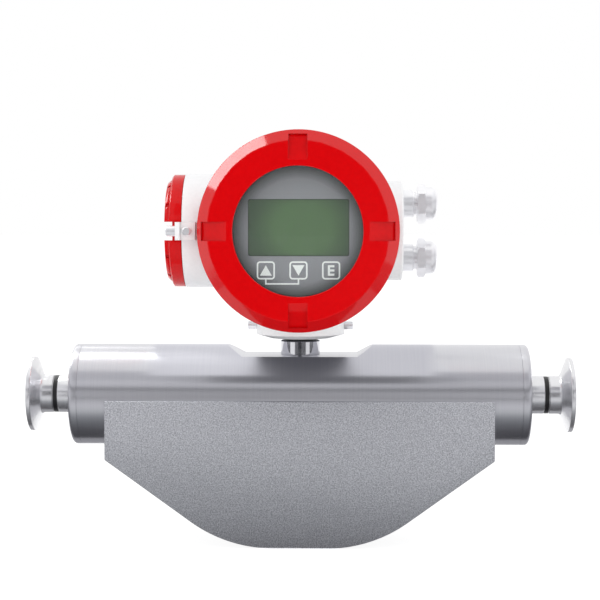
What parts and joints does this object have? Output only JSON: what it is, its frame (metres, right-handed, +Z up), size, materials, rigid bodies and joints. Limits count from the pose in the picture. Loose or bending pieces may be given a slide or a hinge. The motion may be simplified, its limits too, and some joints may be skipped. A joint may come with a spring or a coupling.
{
  "type": "coriolis flow meter",
  "caption": "Compact coriolis mass flow meter: straight sensor tube with clamp ferrules, a welded lower case for bent flow tubes, and a round transmitter with a screwed window cover.",
  "frame": {"origin": "centre of the inlet ferrule's sealing face, on the pipe's axis", "axes": "+X along the pipe from inlet to outlet, +Z up from the pipe to the transmitter, -Y towards the display"},
  "size_m": [0.366, 0.114, 0.2746],
  "materials": {
    "tube_steel": "satin",
    "case_steel": "matte",
    "pipe_steel": "polished",
    "neck_steel": "polished",
    "inner_steel": "satin",
    "magnet_metal": "satin",
    "screw_steel": "satin",
    "coil_wire": "satin",
    "nickel_plating": "satin",
    "brass_posts": "satin",
    "black_rubber": "matte",
    "white_paint": "gloss",
    "red_paint": "gloss",
    "plain_aluminium": "matte",
    "clear_glass": "gloss",
    "grey_panel": "satin",
    "green_screen": "gloss",
    "white_print": "matte",
    "green_board": "satin",
    "dark_plastic": "satin"
  },
  "bodies": {
    "sensor": {"sensor_tube": "tube_steel", "inlet_end_cap": "tube_steel", "outlet_end_cap": "tube_steel", "case_front_plate": "case_steel", "case_back_plate": "case_steel", "case_edge_strip": "case_steel", "inlet_stub": "pipe_steel", "outlet_stub": "pipe_steel", "inlet_joint_seal": "black_rubber", "outlet_joint_seal": "black_rubber", "inlet_ferrule": "pipe_steel", "outlet_ferrule": "pipe_steel", "inlet_splitter": "inner_steel", "outlet_splitter": "inner_steel", "front_flow_tube": "inner_steel", "back_flow_tube": "inner_steel", "inlet_brace_plates": "inner_steel", "outlet_brace_plates": "inner_steel", "drive_coil": "coil_wire", "drive_magnet": "magnet_metal", "inlet_pickoff_coil": "coil_wire", "inlet_pickoff_magnet": "magnet_metal", "outlet_pickoff_coil": "coil_wire", "outlet_pickoff_magnet": "magnet_metal", "temperature_sensor": "inner_steel", "neck_stem": "neck_steel", "feedthrough": "nickel_plating", "neck_gasket": "black_rubber"},
    "transmitter": {"housing": "white_paint", "neck_clamp_screws": "screw_steel", "earth_screw": "screw_steel", "cover_lock_screw": "screw_steel", "display_bezel": "grey_panel", "lcd_module": "green_screen", "key_marks": "white_print", "bezel_screws": "screw_steel", "display_board": "green_board", "main_board": "green_board", "power_board": "green_board", "board_posts": "brass_posts", "terminal_block": "dark_plastic", "terminal_screws": "screw_steel", "upper_gland_body": "nickel_plating", "lower_gland_body": "nickel_plating", "upper_gland_seal": "black_rubber", "lower_gland_seal": "black_rubber"},
    "front_cover_slide": {"front_cover_seal": "black_rubber"},
    "front_cover": {"front_cover": "red_paint", "window_glass": "clear_glass", "glass_retainer": "plain_aluminium"},
    "cover_lock": {"cover_lock_plate": "white_paint"},
    "terminal_cover_slide": {"terminal_cover_seal": "black_rubber"},
    "terminal_cover": {"terminal_cover": "red_paint"},
    "upper_gland_slide": {"upper_gland_washer": "dark_plastic"},
    "upper_gland_nut": {"upper_gland_nut": "nickel_plating"},
    "lower_gland_slide": {"lower_gland_washer": "dark_plastic"},
    "lower_gland_nut": {"lower_gland_nut": "nickel_plating"}
  },
  "joints": [
    {"name": "transmitter_turn", "type": "hinge", "parent": "sensor", "child": "transmitter", "pos_m": [0.183, 0, 0.0388], "axis": [0, 0, 1], "range_deg": [-175, 175]},
    {"name": "front_cover_travel", "type": "slide", "parent": "transmitter", "child": "front_cover_slide", "axis": [0, -1, 0], "range_m": [0, 0.01001]},
    {"name": "front_cover_turn", "type": "hinge", "parent": "front_cover_slide", "child": "front_cover", "pos_m": [0.183, 0, 0.111], "axis": [0, -1, 0], "range_deg": [0, 1800]},
    {"name": "cover_lock_slide", "type": "slide", "parent": "transmitter", "child": "cover_lock", "axis": [0, 1, 0], "range_m": [0, 0.003]},
    {"name": "terminal_cover_travel", "type": "slide", "parent": "transmitter", "child": "terminal_cover_slide", "axis": [-1, 0, 0], "range_m": [0, 0.00801]},
    {"name": "terminal_cover_turn", "type": "hinge", "parent": "terminal_cover_slide", "child": "terminal_cover", "pos_m": [0.106, 0, 0.111], "axis": [-1, 0, 0], "range_deg": [0, 1440]},
    {"name": "upper_gland_nut_travel", "type": "slide", "parent": "transmitter", "child": "upper_gland_slide", "axis": [1, 0, 0], "range_m": [0, 0.00601]},
    {"name": "upper_gland_nut_turn", "type": "hinge", "parent": "upper_gland_slide", "child": "upper_gland_nut", "pos_m": [0.2515, 0, 0.1291], "axis": [1, 0, 0], "range_deg": [0, 1440]},
    {"name": "lower_gland_nut_travel", "type": "slide", "parent": "transmitter", "child": "lower_gland_slide", "axis": [1, 0, 0], "range_m": [0, 0.00601]},
    {"name": "lower_gland_nut_turn", "type": "hinge", "parent": "lower_gland_slide", "child": "lower_gland_nut", "pos_m": [0.2515, 0, 0.0929], "axis": [1, 0, 0], "range_deg": [0, 1440]}
  ],
  "couplings": [
    {"joint": "front_cover_travel", "follows": "front_cover_turn", "m_per_rad": 0.00031831},
    {"joint": "terminal_cover_travel", "follows": "terminal_cover_turn", "m_per_rad": 0.00031831},
    {"joint": "upper_gland_nut_travel", "follows": "upper_gland_nut_turn", "m_per_rad": 0.00023873},
    {"joint": "lower_gland_nut_travel", "follows": "lower_gland_nut_turn", "m_per_rad": 0.00023873}
  ]
}
